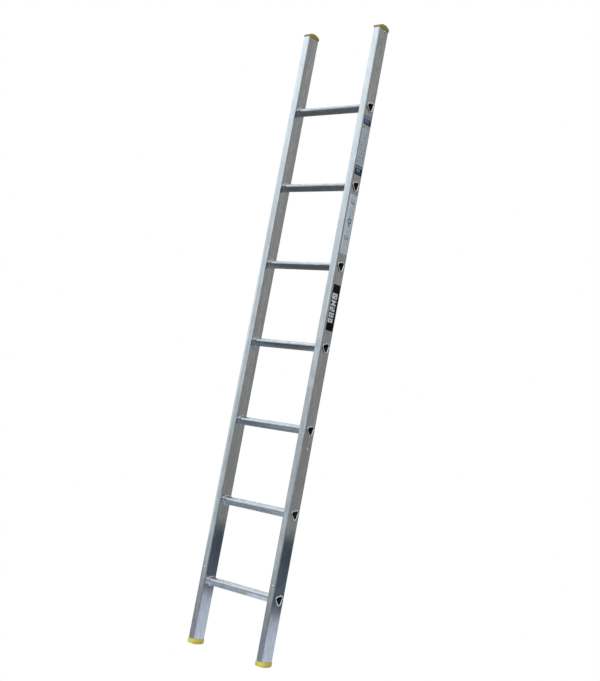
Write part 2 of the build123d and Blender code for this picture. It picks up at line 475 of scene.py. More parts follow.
def build_rungs(sizes, finish):
    """Models one rung and seats a copy at each rung."""
    first = half_rung(sizes)
    apply_modifier(first, "MIRROR", use_axis=(False, False, True), use_mirror_merge=True)
    turn_mesh(first, rung_axes())
    paint_bore(first)
    metal = rung_metal(finish)
    bore = bore_shade_metal(finish)
    for material in (metal, bore):
        first.data.materials.append(material)
    pieces = [first] + [copy_of(first, name) for name in RUNGS[1:]]
    for piece, name in zip(pieces, RUNGS):
        piece.name = name + "_piece"
        seat_on(piece, name)
        finish_piece(piece, name)


def rung_cutter(sizes):
    """Prisms the shape of the rungs' hidden necks, one at each rung, that run through both stiles."""
    first = rung_outline(sizes, "rung_cutter")
    reach = OUTER_WEB * 1.1
    bpy.ops.mesh.select_all(action="SELECT")
    extrude((0, 0, 2 * reach))
    bpy.ops.mesh.select_all(action="SELECT")
    bpy.ops.mesh.normals_make_consistent(inside=False)
    bpy.ops.transform.translate(value=(0, 0, -reach))
    close_piece()
    turn_mesh(first, rung_axes())
    cutters = [first] + [copy_of(first, f"cutter_{name}") for name in RUNGS[1:]]
    for cutter, name in zip(cutters, RUNGS):
        low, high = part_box(name)
        lip_low, lip_high = mesh_box(cutter)
        turn_mesh(cutter, Matrix.Translation((low + high - lip_low - lip_high) / 2))
    return join(cutters)


def build_stiles(sizes, finish):
    """Box sections: a block with rounded long corners, opened at both ends, walled and holed."""
    low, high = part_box("stile_right")
    right = new_cube("stile_right_piece")
    bpy.ops.mesh.select_all(action="SELECT")
    resize(high - low)
    pick(right, "EDGE", lambda edge: edge.calc_length() > (high.z - low.z) / 2)
    round_edges(sizes.stile_corner, ARC_STEPS)
    pick(right, "FACE", lambda face: abs(face.normal.z) > FACING_WAY)
    bpy.ops.mesh.delete(type="FACE")
    close_piece()
    apply_modifier(right, "SOLIDIFY", thickness=sizes.wall, offset=-1, use_even_offset=True)
    seat_on(right, "stile_right")
    left = copy_of(right, "stile_left_piece")
    seat_on(left, "stile_left")
    metal = stile_metal(finish)
    for piece, node in ((right, "stile_right"), (left, "stile_left")):
        carve(piece, rung_cutter(sizes))
        piece.data.materials.append(metal)
        finish_piece(piece, node)


# ---- Feet, caps and rivets ---------------------------------------------------------------------

def end_block(name, node, height, corner):
    """Block over a stile's end, standing on the XY plane, with round upright corners and cut in rows."""
    low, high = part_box(node)
    piece = new_cube(name)
    bpy.ops.mesh.select_all(action="SELECT")
    resize((high.x - low.x, high.y - low.y, height))
    bpy.ops.transform.translate(value=(0, 0, height / 2))
    pick(piece, "EDGE", lambda edge: abs(edge.verts[0].co.z - edge.verts[1].co.z) > height / 2)
    round_edges(corner, ARC_STEPS)
    rows = int((high.y - low.y) / 2 / ROW_STEP)
    for row in range(-rows, rows + 1):
        cut_across(1, row * ROW_STEP)
    return piece


def raise_rows(piece, level, rise):
    """Lifts each row of vertices at a level by the rise that belongs to its place along Y."""
    mesh = bmesh.from_edit_mesh(piece.data)
    rows = sorted({round(v.co.y, 6) for v in mesh.verts if abs(v.co.z - level) < TINY})
    for row in rows:
        pick(piece, "VERT", lambda v: abs(v.co.z - level) < TINY and abs(v.co.y - row) < TINY / 5)
        bpy.ops.transform.translate(value=(0, 0, rise(row)))


def arc_drop(reach, drop):
    """Radius of an arc that falls by a drop over a reach, and how far it falls after any distance."""
    radius = (reach**2 + drop**2) / (2 * drop)
    return lambda distance: radius - math.sqrt(radius**2 - distance**2)


def round_rim(piece, upwards, radius):
    """Rounds the edge where the shaped top or bottom of a block meets its sides."""
    def on_rim(edge):
        lifts = [face.normal.z * (1 if upwards else -1) for face in edge.link_faces]
        return len(lifts) == 2 and max(lifts) > 0.4 and abs(min(lifts, key=abs)) < 0.2

    pick(piece, "EDGE", on_rim)
    round_edges(radius, 4)


def add_plug(piece, side):
    """Hollow plug that grows out of a block's flat face, upwards or downwards, into the stile."""
    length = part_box("foot_right")[1].z - STILE_LOW.z
    pick(piece, "FACE", lambda face: face.normal.z * side > FLAT_WAY)
    bpy.ops.mesh.dissolve_faces()
    bpy.ops.mesh.inset(thickness=PLUG_INSET)
    extrude((0, 0, side * length))
    bpy.ops.mesh.inset(thickness=PLUG_WALL)
    extrude((0, 0, side * (PLUG_FLOOR - length)))


def grip_cutter(half_width, sole):
    """Row of bars that cut the grip slots across a foot's sole."""
    bars = []
    for number in range(GRIP_COUNT):
        place = (number - (GRIP_COUNT - 1) / 2) * GRIP_PITCH
        bar = new_cube(f"grip_bar_{number}")
        top = sole(place) + GRIP_DEPTH
        size = (4 * half_width, GRIP_WIDTH, 2 * STILE_LOW.z)
        resize(size)
        bpy.ops.transform.translate(value=(0, place, top - STILE_LOW.z))
        close_piece()
        bars.append(bar)
    return join(bars)


def build_feet(sizes, finish):
    """Feet with a flat strip between two arcs under them, and grip slots."""
    low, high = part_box("foot_right")
    corner = sizes.stile_corner + (high.x - OUTER_WEB)
    front = arc_drop(SOLE_FLAT_FRONT - low.y, SOLE_FRONT_RISE)
    back = arc_drop(high.y - SOLE_FLAT_BACK, SOLE_BACK_RISE)

    def sole(place):
        if place < SOLE_FLAT_FRONT:
            return front(SOLE_FLAT_FRONT - place)
        return back(place - SOLE_FLAT_BACK) if place > SOLE_FLAT_BACK else 0.0

    right = end_block("foot_right_piece", "foot_right", STILE_LOW.z, corner)
    raise_rows(right, 0, sole)
    round_rim(right, False, sizes.cap_round)
    add_plug(right, 1)
    close_piece()
    carve(right, grip_cutter((high.x - low.x) / 2, sole))
    finish_pair(right, "foot", yellow_plastic(finish, "foot_plastic"))


def build_caps(sizes, finish):
    """Caps with a crown that falls away to the front and back."""
    low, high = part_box("top_cap_right")
    corner = sizes.stile_corner + (high.x - OUTER_WEB)
    crown = arc_drop((high.y - low.y) / 2, CROWN_HEIGHT - CROWN_EDGE)
    right = end_block("top_cap_right_piece", "top_cap_right", CROWN_HEIGHT, corner)
    raise_rows(right, CROWN_HEIGHT, lambda place: -crown(abs(place)))
    round_rim(right, True, sizes.cap_round)
    add_plug(right, -1)
    close_piece()
    finish_pair(right, "top_cap", yellow_plastic(finish, "cap_plastic"))


def finish_pair(right, kind, material):
    """Seats the right piece, copies it for the left stile, and finishes both."""
    seat_on(right, f"{kind}_right")
    left = copy_of(right, f"{kind}_left_piece")
    seat_on(left, f"{kind}_left")
    for piece, side in ((right, "right"), (left, "left")):
        piece.data.materials.append(material)
        finish_piece(piece, f"{kind}_{side}")


def blind_rivet(name, length):
    """Domed rivet along Z: head with the mandrel's pit, shank, and upset tail."""
    bpy.ops.object.select_all(action="DESELECT")
    bpy.ops.mesh.primitive_uv_sphere_add(radius=RIVET_DOME_RADIUS, segments=32, ring_count=48)
    piece = start_piece(name)
    seat = math.sqrt(RIVET_DOME_RADIUS**2 - RIVET_HEAD_RADIUS**2)
    crown = math.sqrt(RIVET_DOME_RADIUS**2 - MANDREL_RADIUS**2)
    up = (0, 0, 1)
    bpy.ops.mesh.select_all(action="SELECT")
    cuts = {"plane_no": up, "use_fill": True, "threshold": TINY / 10}
    bpy.ops.mesh.bisect(plane_co=(0, 0, seat), clear_inner=True, **cuts)
    bpy.ops.mesh.select_all(action="SELECT")
    bpy.ops.mesh.bisect(plane_co=(0, 0, crown), clear_outer=True, **cuts)
    bpy.ops.mesh.select_all(action="SELECT")
    bpy.ops.mesh.normals_make_consistent(inside=False)
    pick(piece, "FACE", lambda face: face.normal.z > FLAT_WAY)
    extrude((0, 0, -MANDREL_DEPTH))
    bpy.ops.mesh.inset(thickness=MANDREL_RADIUS / 4)
    extrude((0, 0, MANDREL_DEPTH / 2))
    pick(piece, "FACE", lambda face: face.normal.z < -FLAT_WAY)
    bpy.ops.mesh.inset(thickness=RIVET_HEAD_RADIUS - RIVET_SHANK_RADIUS)
    head_height = crown - seat
    extrude((0, 0, head_height + RIVET_TAIL_LENGTH - length))
    extrude((0, 0, -RIVET_TAIL_LENGTH))
    tail_top = seat + head_height - length + RIVET_TAIL_LENGTH

    def on_tail(face):
        return abs(face.normal.z) < 0.1 and face.calc_center_median().z < tail_top

    pick(piece, "FACE", on_tail)
    swell(RIVET_TAIL_RADIUS - RIVET_SHANK_RADIUS)

    def tail_rim(edge):
        reach = min(vertex.co.xy.length for vertex in edge.verts)
        flat = abs(edge.verts[0].co.z - edge.verts[1].co.z) < TINY
        return reach > RIVET_TAIL_RADIUS - TINY and flat and edge.verts[0].co.z < seat - RIVET_HEAD_HEIGHT / 2

    pick(piece, "EDGE", tail_rim)
    round_edges(RIVET_TAIL_LENGTH / 4, 3)
    close_piece()
    return piece


def build_rivets(finish):
    """Models a rivet of each length and copies it to every place."""
    material = rivet_metal(finish)
    made = {}
    for name in RIVETS:
        low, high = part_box(name)
        if name.startswith("front"):
            axis, turn = 1, Matrix.Rotation(math.pi / 2, 4, "X")
        else:
            side = 1 if name.endswith("right") else -1
            axis, turn = 0, Matrix.Rotation(side * math.pi / 2, 4, "Y")
        length = round((high - low)[axis], 5)
        if length in made:
            piece = copy_of(made[length], name + "_piece")
        else:
            piece = blind_rivet(name + "_piece", length)
            made[length] = copy_of(piece, f"rivet_pattern_{len(made)}")
        turn_mesh(piece, turn)
        seat_on(piece, name)
        piece.data.materials.append(material)
        finish_piece(piece, name, 40)
    for pattern in made.values():
        bpy.data.objects.remove(pattern)


def build_stickers(finish):
    """Thin films with round corners, each with its own print."""
    makers = {
        "instruction_label": instruction_print,
        "rating_label": rating_print,
        "stripe_label": striped_print,
    }
    for name in STICKERS:
        low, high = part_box(name)
        piece = new_cube(name + "_piece")
        resize(high - low)
        pick(piece, "EDGE", lambda edge: abs(edge.verts[0].co.x - edge.verts[1].co.x) > TINY)
        round_edges(STICKER_CORNER, ARC_STEPS)
        pick(piece, "EDGE", lambda edge: all(v.co.x > 0 for v in edge.verts))
        round_edges((high.x - low.x) / 2, 2)
        close_piece()
        seat_on(piece, name)
        piece.data.materials.append(makers[name](finish, low, high))
        finish_piece(piece, name)


# ---- Materials ---------------------------------------------------------------------------------

# Strips along the metal, each from and to this far in from the edge that is named
# Painted shade: a darker strip on the webs along the stile's rounded front and back corners
CORNER_SHADE_STRIP = (0.006, 0.0008)  # from the stile's front and back
# Painted highlight: a bright strip on the left stile's front and back faces
HIGHLIGHT_STRIP = (0.009, 0.0015)  # from the left stile's outer web
# Painted shade: a darker strip down the middle of the stiles' front and back faces
MIDDLE_SHADE_STRIP = (0.004, 0.014)  # from the inner webs
# Painted shade: the flared end's rim is nearly black
RIM_SHADE_STRIP = (0.0005, 0.0010)  # from the outer web, and from the flared end
PRESS_STRIP = 0.0035  # from the inner webs
FLANGE_SKIN = (0.0005, 0.0001)  # from the stile's front and back
# Painted highlight on the face of the flared end
END_HIGHLIGHT_SKIN = (0.0008, 0.0004)  # from the flared end
# Heights over which the painted highlight on the left stile appears and fades
HIGHLIGHT_RISE = (0.30, 0.42)
HIGHLIGHT_FADE = (1.20, 1.50)
# Where painted shade darkens the plastic: from front to back, up from the sole, and between the feet and the
# caps
BACK_SHADE_DEPTHS = (-0.026, 0.012)
SOLE_SHADE_HEIGHTS = (0.002, 0.011)
CAP_SHADE_HEIGHTS = (1.0, 1.2)


class Wire:
    """A node's output, with the arithmetic that the materials are written in."""

    def __init__(self, tree, socket=None):
        self.tree = tree
        self.socket = socket

    def node(self, kind, settings=None, inputs=None, output=0):
        """Adds a node to the same tree: its settings first, then the values or links of its sockets."""
        new = self.tree.nodes.new(kind)
        for name, value in (settings or {}).items():
            if name == "stops":
                for _ in range(len(value) - 2):
                    new.color_ramp.elements.new(0.5)
                for element, (place, colour) in zip(new.color_ramp.elements, value):
                    element.position = place
                    element.color = colour if len(colour) == 4 else (*colour, 1)
            else:
                setattr(new, name, value)
        for name, value in (inputs or {}).items():
            if isinstance(value, Wire):
                self.tree.links.new(value.socket, new.inputs[name])
            else:
                new.inputs[name].default_value = value
        return Wire(self.tree, new.outputs[output])

    def maths(self, operation, *values):
        return self.node("ShaderNodeMath", {"operation": operation}, dict(enumerate(values)))

    def __add__(self, other):
        return self.maths("ADD", self, other)

    def __radd__(self, other):
        return self.maths("ADD", other, self)

    def __sub__(self, other):
        return self.maths("SUBTRACT", self, other)

    def __rsub__(self, other):
        return self.maths("SUBTRACT", other, self)

    def __mul__(self, other):
        return self.maths("MULTIPLY", self, other)

    def __rmul__(self, other):
        return self.maths("MULTIPLY", other, self)

    def __truediv__(self, other):
        return self.maths("DIVIDE", self, other)

    def step(self, low, high):
        """Smooth rise from 0 at low to 1 at high."""
        settings = {"interpolation_type": "SMOOTHSTEP"}
        return self.node("ShaderNodeMapRange", settings, {"Value": self, "From Min": low, "From Max": high})

    def inside(self, low, high, soft=0.0002):
        """1 between low and high, 0 outside, with soft edges."""
        return self.step(low - soft, low + soft) * (1 - self.step(high - soft, high + soft))

    def noise(self, scale, stretch=(1, 1, 1), detail=3.0, roughness=0.5, place=(0, 0, 0)):
        mapped = self.node("ShaderNodeMapping", None, {"Vector": self, "Scale": stretch, "Location": place})
        inputs = {"Vector": mapped, "Scale": scale, "Detail": detail, "Roughness": roughness}
        return self.node("ShaderNodeTexNoise", {"noise_dimensions": "3D"}, inputs)

    def blend(self, under, over):
        """Number between two numbers, with this value as the share of the second."""
        return under + (over - under) * self

    def mix(self, under, over):
        """Colour between two colours, with this value as the share of the second."""
        inputs = {"Factor": self, "A": under, "B": over}
        inputs = {name: (*value, 1) if isinstance(value, tuple) and len(value) == 3 else value
                  for name, value in inputs.items()}
        sockets = {0: inputs["Factor"], 6: inputs["A"], 7: inputs["B"]}
        return self.node("ShaderNodeMix", {"data_type": "RGBA"}, sockets, 2)


def new_material(name):
    """Empty material, its Object coordinates and their three parts."""
    material = bpy.data.materials.new(name)
    material.use_nodes = True
    material.node_tree.nodes.clear()
    start = Wire(material.node_tree)
    place = start.node("ShaderNodeTexCoord", output="Object")
    parts = [place.node("ShaderNodeSeparateXYZ", None, {0: place}, axis) for axis in range(3)]
    return material, place, parts


def shine(material, place, bumps=(), **sockets):
    """Principled shader with the given sockets, over bumps of (height, distance), wired to the output."""
    normal = None
    for height, distance in bumps:
        inputs = {"Height": height, "Distance": distance, "Strength": 1.0}
        if normal:
            inputs["Normal"] = normal
        normal = place.node("ShaderNodeBump", None, inputs)
    inputs = {name.replace("_", " "): value for name, value in sockets.items()}
    if normal:
        inputs["Normal"] = normal
    shader = place.node("ShaderNodeBsdfPrincipled", None, inputs)
    output = material.node_tree.nodes.new("ShaderNodeOutputMaterial")
    material.node_tree.links.new(shader.socket, output.inputs["Surface"])
    return material


def tint(colour, gain, shift=(0, 0, 0)):
    """Colour times a gain, plus a shift, kept between 0 and 1."""
    return tuple(min(1.0, max(0.0, value * gain + extra)) for value, extra in zip(colour, shift))


def drawn_metal(name, finish, lengthwise):
    """Mill-finish aluminium with die lines along one axis, cloudy oxide, handling marks and fine scuffs."""
    material, place, parts = new_material(name)
    lines = place.noise(9.0, tuple(1.0 if axis == lengthwise else 90.0 for axis in range(3)), 5.0, 0.62)
    broad = place.noise(2.2, tuple(1.0 if axis == lengthwise else 40.0 for axis in range(3)), 2.0)
    cloud = place.noise(9.0, detail=4.0, roughness=0.6)
    mottle = place.noise(95.0, tuple(0.35 if axis == lengthwise else 1.0 for axis in range(3)), 3.0, 0.7)
    smudge = place.noise(34.0, detail=3.0, place=(3, 1, 7)).step(0.56, 0.74)
    scuff_way = tuple(6.0 if axis == lengthwise else 1.0 for axis in range(3))
    scuff = place.noise(140.0, scuff_way, 2.0, place=(5, 9, 2)).step(0.68, 0.76)
    colour = tuple(finish.metal)
    base = broad.step(0.35, 0.65).mix(tint(colour, 0.88), tint(colour, 1.14))
    base = (lines.step(0.4, 0.65) * 0.6).mix(base, tint(colour, 0.80))
    base = (mottle.step(0.42, 0.60) * 0.75).mix(base, tint(colour, 0.74, (0.012, 0.008, 0.0)))
    base = (cloud.step(0.42, 0.72) * 0.30).mix(base, tint(colour, 0.80, (0.0, 0.004, 0.012)))
    base = (smudge * 0.25).mix(base, tint(colour, 0.62, (0.012, 0.008, 0.0)))
    base = (scuff * 0.40).mix(base, tint(colour, 1.25))
    rough = finish.roughness + (cloud - 0.5) * 0.08 + (lines - 0.5) * 0.06 + smudge * 0.05 + mottle * 0.04
    bumps = ((lines, 0.000004), (mottle, 0.000002), (scuff, 0.000004))
    return material, place, parts, base, rough, bumps


def stile_metal(finish):
    """Drawn metal with painted shade along the webs' front and back edges and down the middle of the front
    and back faces, and a painted highlight in a strip on the left stile's front and back faces.
    """
    material, place, (x, y, z), base, rough, bumps = drawn_metal("stile_finish", finish, 2)
    colour = tuple(finish.metal)
    side = x.maths("ABSOLUTE", x)
    depth = y.maths("ABSOLUTE", y)
    flange = depth.step(STILE_BACK - FLANGE_SKIN[0], STILE_BACK - FLANGE_SKIN[1])
    # Painted shade: the webs are darker along the rounded front and back corners
    corner = depth.inside(STILE_BACK - CORNER_SHADE_STRIP[0], STILE_BACK - CORNER_SHADE_STRIP[1], 0.0008)
    base = (corner * 0.30).mix(base, tint(colour, 0.55))
    # Painted highlight: a bright strip on the left stile's front and back faces near its outer web, between
    # two heights
    painted_highlight = (0 - x).inside(OUTER_WEB - HIGHLIGHT_STRIP[0], OUTER_WEB - HIGHLIGHT_STRIP[1], 0.001)
    painted_highlight = painted_highlight * z.step(*HIGHLIGHT_RISE)
    painted_highlight = painted_highlight * (1 - z.step(*HIGHLIGHT_FADE)) * flange
    base = (painted_highlight * 0.75).mix(base, tint(colour, 1.42))
    # Painted shade: the front and back faces are darker down their middle
    middle = side.inside(INNER_WEB + MIDDLE_SHADE_STRIP[0], INNER_WEB + MIDDLE_SHADE_STRIP[1], 0.002) * flange
    base = (middle * 0.22).mix(base, tint(colour, 0.80))
    return shine(material, place, bumps, Base_Color=base, Metallic=1.0, Roughness=rough)


def rung_metal(finish):
    """Drawn metal with painted shade on the flared end's rim, a painted highlight on its face, and lighter
    beside the inner web.
    """
    material, place, (x, _, _), base, rough, bumps = drawn_metal("rung_finish", finish, 0)
    colour = tuple(finish.metal)
    side = x.maths("ABSOLUTE", x)
    lip_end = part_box(RUNGS[0])[1].x
    # Painted shade: the flared end's rim is painted nearly black
    rim = side.inside(OUTER_WEB - RIM_SHADE_STRIP[0], lip_end - RIM_SHADE_STRIP[1], 0.0003)
    base = (rim * 0.92).mix(base, tint(colour, 0.08))
    press = side.inside(INNER_WEB - PRESS_STRIP, INNER_WEB, 0.0008)
    base = (press * 0.5).mix(base, tint(colour, 1.02))
    # Painted highlight: the flared end's face is painted lighter
    face = side.step(lip_end - END_HIGHLIGHT_SKIN[0], lip_end - END_HIGHLIGHT_SKIN[1])
    base = (face * 0.8).mix(base, tint(colour, 1.3))
    rough = rough + 0.13 + face * 0.10
    return shine(material, place, bumps, Base_Color=base, Metallic=1.0, Roughness=rough)


def bore_shade_metal(finish):
    """Metal inside the rungs, painted dark as shade, with a mottled tone."""
    material, place, _ = new_material("rung_bore_shade")
    bore_mottle = place.noise(60.0, (0.3, 1, 1), 4.0)
    colour = tuple(finish.metal)
    # Painted shade: the bore is painted a tenth to a fifth as bright as the metal
    base = bore_mottle.mix(tint(colour, 0.10), tint(colour, 0.22))
    return shine(
        material, place, ((bore_mottle, 0.00003),), Base_Color=base, Metallic=0.7, Roughness=0.55 + bore_mottle * 0.2,
    )


def rivet_metal(finish):
    """Grainy metal with dirt in patches."""
    material, place, _ = new_material("rivet_finish")
    grain = place.noise(900.0, detail=3.0)
    dirt = place.noise(260.0, detail=2.0, place=(2, 2, 5)).step(0.5, 0.72)
    colour = tuple(finish.rivet)
    base = (grain * 0.5).mix(colour, tint(colour, 0.8))
    base = (dirt * 0.5).mix(base, tint(colour, 0.45, (0.01, 0.006, 0)))
    return shine(
        material, place, ((grain, 0.00002),), Base_Color=base, Metallic=1.0, Roughness=0.26 + dirt * 0.25,
    )


def yellow_plastic(finish, name):
    """Moulded plastic with painted shade: browner and darker towards the back, darker at the sole and all
    over in the caps.
    """
    material, place, (_, y, z) = new_material(name)
    pebble = place.noise(1500.0, detail=2.0)
    cloud = place.noise(45.0, detail=3.0)
    scuff = place.noise(160.0, (1, 1, 5), 3.0, place=(4, 4, 1)).step(0.58, 0.70)
    colour = tuple(finish.plastic)
    base = cloud.step(0.35, 0.65).mix(tint(colour, 1.08), tint(colour, 0.86))
    # Painted shade: the plastic grows browner and darker towards the back
    base = (y.step(*BACK_SHADE_DEPTHS) * 0.90).mix(base, tint(colour, 0.60, (0.0, -0.015, 0.01)))
    # Painted shade: the plastic is darker low on the soles
    base = ((1 - z.step(*SOLE_SHADE_HEIGHTS)) * 0.45).mix(base, tint(colour, 0.42, (0.0, -0.01, 0.0)))
    # Painted shade: the same plastic is painted darker in the caps than in the feet
    base = (z.step(*CAP_SHADE_HEIGHTS) * 0.80).mix(base, tint(colour, 0.34, (0.015, -0.005, 0.0)))
    base = (scuff * 0.35).mix(base, tint(colour, 0.50, (0.02, 0.02, 0.02)))
    return shine(
        material, place, ((pebble, 0.00004), (scuff, 0.00005)),
        Base_Color=base, Roughness=0.42 + cloud * 0.15 + scuff * 0.15, IOR=1.49,
    )


def film(material, place, base, gloss=0.34, glare=0.3):
    """Printed plastic film: a slightly rippled, slightly worn surface over the print."""
    ripple = place.noise(70.0, detail=2.0)
    wear = place.noise(420.0, detail=4.0, place=(1, 6, 3)).step(0.60, 0.75)
    base = (wear * 0.10).mix(base, (0.55, 0.57, 0.59))
    return shine(
        material, place, ((ripple, 0.00012),),
        Base_Color=base, Roughness=gloss + wear * 0.25, Specular_IOR_Level=glare,
    )


class Print:
    """Artwork on a sticker: bars placed in millimetres down from its top and back from its front edge."""

    def __init__(self, name, low, high, ground):
        self.material, self.place, (_, y, z) = new_material(name)
        self.down = (high.z - z) * 1000
        self.back = (y - low.y) * 1000
        mottle = self.place.noise(240.0, detail=2.0)
        self.colour = (mottle * 0.5).mix(ground, tint(ground, 0.88))

    def bar(self, top, bottom, front, back, ink, cover=1.0, soft=0.5):
        mask = self.down.inside(top, bottom, soft) * self.back.inside(front, back, soft)
        self.colour = (mask * cover).mix(self.colour, ink)

    def text(self, top, bottom, front, back, pitch, ink, cover, grain):
        """Lines of illegible small print: broken strokes in rows."""
        row = (self.down / pitch).maths("FRACT", self.down / pitch).inside(0.25, 0.75, 0.12)
        broken = self.place.noise(grain, detail=1.0, place=(8, top, 2)).step(0.50, 0.60)
        area = self.down.inside(top, bottom, 1.0) * self.back.inside(front, back, 1.0)
        self.colour = (row * broken * area * cover).mix(self.colour, ink)

    def lay(self, bars, text, rings=()):
        """Prints every row of the tables: bars first, then small print, then rings."""
        for row in bars:
            self.bar(*row)
        for row in text:
            self.text(*row)
        for row in rings:
            self.ring(*row)

    def ring(self, down, back, radius, width, ink, cover):
        reach = (self.down - down) * (self.down - down) + (self.back - back) * (self.back - back)
        mask = reach.maths("SQRT", reach).inside(radius - width, radius, 0.4)
        self.colour = (mask * cover).mix(self.colour, ink)


def instruction_print(finish, low, high):
    """Pale film with a dark head and foot, and columns of small print between them."""
    art = Print("instruction_sticker", low, high, tuple(finish.sticker))
    art.lay(INSTRUCTION_BARS, INSTRUCTION_TEXT)
    return film(art.material, art.place, art.colour)


def rating_print(finish, low, high):
    """Paler film with bars, small print and two rings."""
    art = Print("rating_sticker", low, high, tint(tuple(finish.sticker), 1.25))
    art.lay(RATING_BARS, RATING_TEXT, RATING_RINGS)
    return film(art.material, art.place, art.colour)


def striped_print(finish, low, high):
    """Dark film with a column of pale blocks between two plain ends."""
    art = Print("striped_sticker", low, high, tuple(finish.dark_sticker))
    for top, bottom, front, back in PALE_BLOCKS:
        art.bar(top, bottom, front, back, PALE_INK, 0.95, 0.8)
    for top, bottom, front, back in DARK_GAPS:
        art.bar(top, bottom, front, back, tuple(finish.dark_sticker), 1.0, 0.8)
    return film(art.material, art.place, art.colour, 0.5, 0.06)


# ---- Stage -------------------------------------------------------------------------------------

CAMERA_PLACE = (2.6635, -2.9578, 0.6489)
CAMERA_RIGHT = (0.7503, 0.6351, 0.1836)
CAMERA_FORWARD = (-0.6575, 0.7457, 0.1074)
FLOOR_RADIUS = 1.3
FLOOR_CENTRE = (0.36, 0.41)
# Brightness of the floor along the way the webs face, in metres from the ladder's foot
FLOOR_TONES = (
    (-0.9, 0.2), (-0.5, 0.2), (-0.34, 0.29), (-0.25, 0.85), (-0.12, 1.12), (0.1, 1.0), (0.9, 0.88),
    (1.1, 0.80), (1.31, 0.64), (1.55, 0.38), (1.76, 0.22), (1.9, 0.18),
)
FLOOR_WAY = (0.657, 0.746)
# In front of the ladder the floor has one tone, which blends into the others between these places along Y
FLOOR_FRONT_TONE = 0.47
FLOOR_FRONT_EDGE = (-0.14, -0.05)
# Brightness of the studio's walls against the sine of the elevation, for each way they face
NEUTRAL_TONES = (
    (-1, 0.2), (-0.76, 0.2), (-0.70, 0.13), (-0.1, 0.13), (0.0, 0.35), (0.3, 0.5), (0.6, 1.1), (1, 1.2),
)
HORIZON = (-0.0588, -0.0578)
AHEAD_TONES = (
    (-1, 0.16), (-0.100, 0.19), (-0.075, 0.12), (HORIZON[0], 0.115), (HORIZON[1], 0.36),
    (0.0, 0.355), (0.1, 0.38), (0.33, 0.42), (0.4, 0.40), (0.7, 1.0), (1, 1.1),
)
FACING_TONES = (
    (-1, 0.12), (-0.62, 0.13), (-0.52, 0.4), (-0.42, 1.1), (-0.22, 1.1), (-0.17, 0.43), (-0.138, 0.43),
    (-0.115, 0.48), (-0.100, 0.57), (-0.085, 0.68), (-0.06, 0.71), (0.015, 0.71), (0.085, 0.83),
    (0.154, 0.96), (0.22, 1.15), (0.285, 1.36), (0.35, 1.50), (0.6, 1.6), (1, 1.3),
)
LEFT_TONES = ((-1, 0.12), (-0.1, 0.2), (0.0, 0.4), (0.25, 1.3), (0.7, 1.5), (1, 1.2))
BESIDE_TONES = ((-1, 0.3), (-0.1, 0.3), (0.0, 0.6), (0.2, 1.3), (0.6, 1.4), (1, 1.2))
# The level way to each of those four walls, and how squarely a ray meets it before it shows fully
WALLS = (
    ((0.66, 0.75), 0.85, AHEAD_TONES), ((-0.66, -0.75), 0.85, FACING_TONES),
    ((-0.78, 0.62), 0.9, LEFT_TONES), ((0.85, -0.52), 0.9, BESIDE_TONES),
)
WALL_EDGE = 0.35
FLOOR_TINT = (0.80, 0.86, 1.0)
ROOM_TINT = (0.93, 1.005, 1.065)
LOW_TINT = (0.67, 0.84, 1.05)
HIGH_TINT = (1.0, 0.97, 0.94)


def build_camera(studio):
    """Camera at its place, looking along CAMERA_FORWARD."""
    forward = Vector(CAMERA_FORWARD).normalized()
    right = Vector(CAMERA_RIGHT)
    right = (right - forward * right.dot(forward)).normalized()
    upward = right.cross(forward)
    camera = bpy.data.cameras.new("camera")
    camera.lens = studio.lens
    camera.sensor_width = 36
    camera.clip_start = 0.05
    camera.clip_end = 60
    holder = bpy.data.objects.new("camera", camera)
    turn = Matrix((right, upward, -forward)).transposed().to_4x4()
    holder.matrix_world = Matrix.Translation(CAMERA_PLACE) @ turn
    bpy.context.collection.objects.link(holder)
    bpy.context.scene.camera = holder


def build_floor():
    """Disc that glows white to the camera and glows with painted light and shade in reflections."""
    bpy.ops.object.select_all(action="DESELECT")
    bpy.ops.mesh.primitive_circle_add(
        vertices=128, radius=FLOOR_RADIUS, fill_type="NGON", location=(*FLOOR_CENTRE, 0),
    )
    floor = bpy.context.object
    floor.name = "floor"
    bpy.ops.object.transform_apply(location=True, rotation=True, scale=True)
    material, place, (x, y, _) = new_material("floor")
    seen = place.node("ShaderNodeLightPath", output="Is Camera Ray")
    # Painted light: in reflections the floor glows brighter near the ladder's foot and fades away from it
    tone = tone_ramp(x * FLOOR_WAY[0] + y * FLOOR_WAY[1], FLOOR_TONES)
    tone = y.step(*FLOOR_FRONT_EDGE).blend(FLOOR_FRONT_TONE, tone)
    colour = seen.mix(FLOOR_TINT, WHITE)
    glow = place.node("ShaderNodeEmission", None, {"Color": colour, "Strength": seen.blend(tone, 1.0)})
    output = material.node_tree.nodes.new("ShaderNodeOutputMaterial")
    material.node_tree.links.new(glow.socket, output.inputs["Surface"])
    floor.data.materials.append(material)


def tone_ramp(value, tones):
    """Brightness read off a list of (value, brightness)."""
    low, high = tones[0][0], tones[-1][0]
    peak = max(tone for _, tone in tones)
    stops = [((place - low) / (high - low), (tone / peak,) * 3) for place, tone in tones]
    ramp = value.node("ShaderNodeValToRGB", {"stops": stops}, {"Fac": (value - low) * (1 / (high - low))})
    return ramp * peak


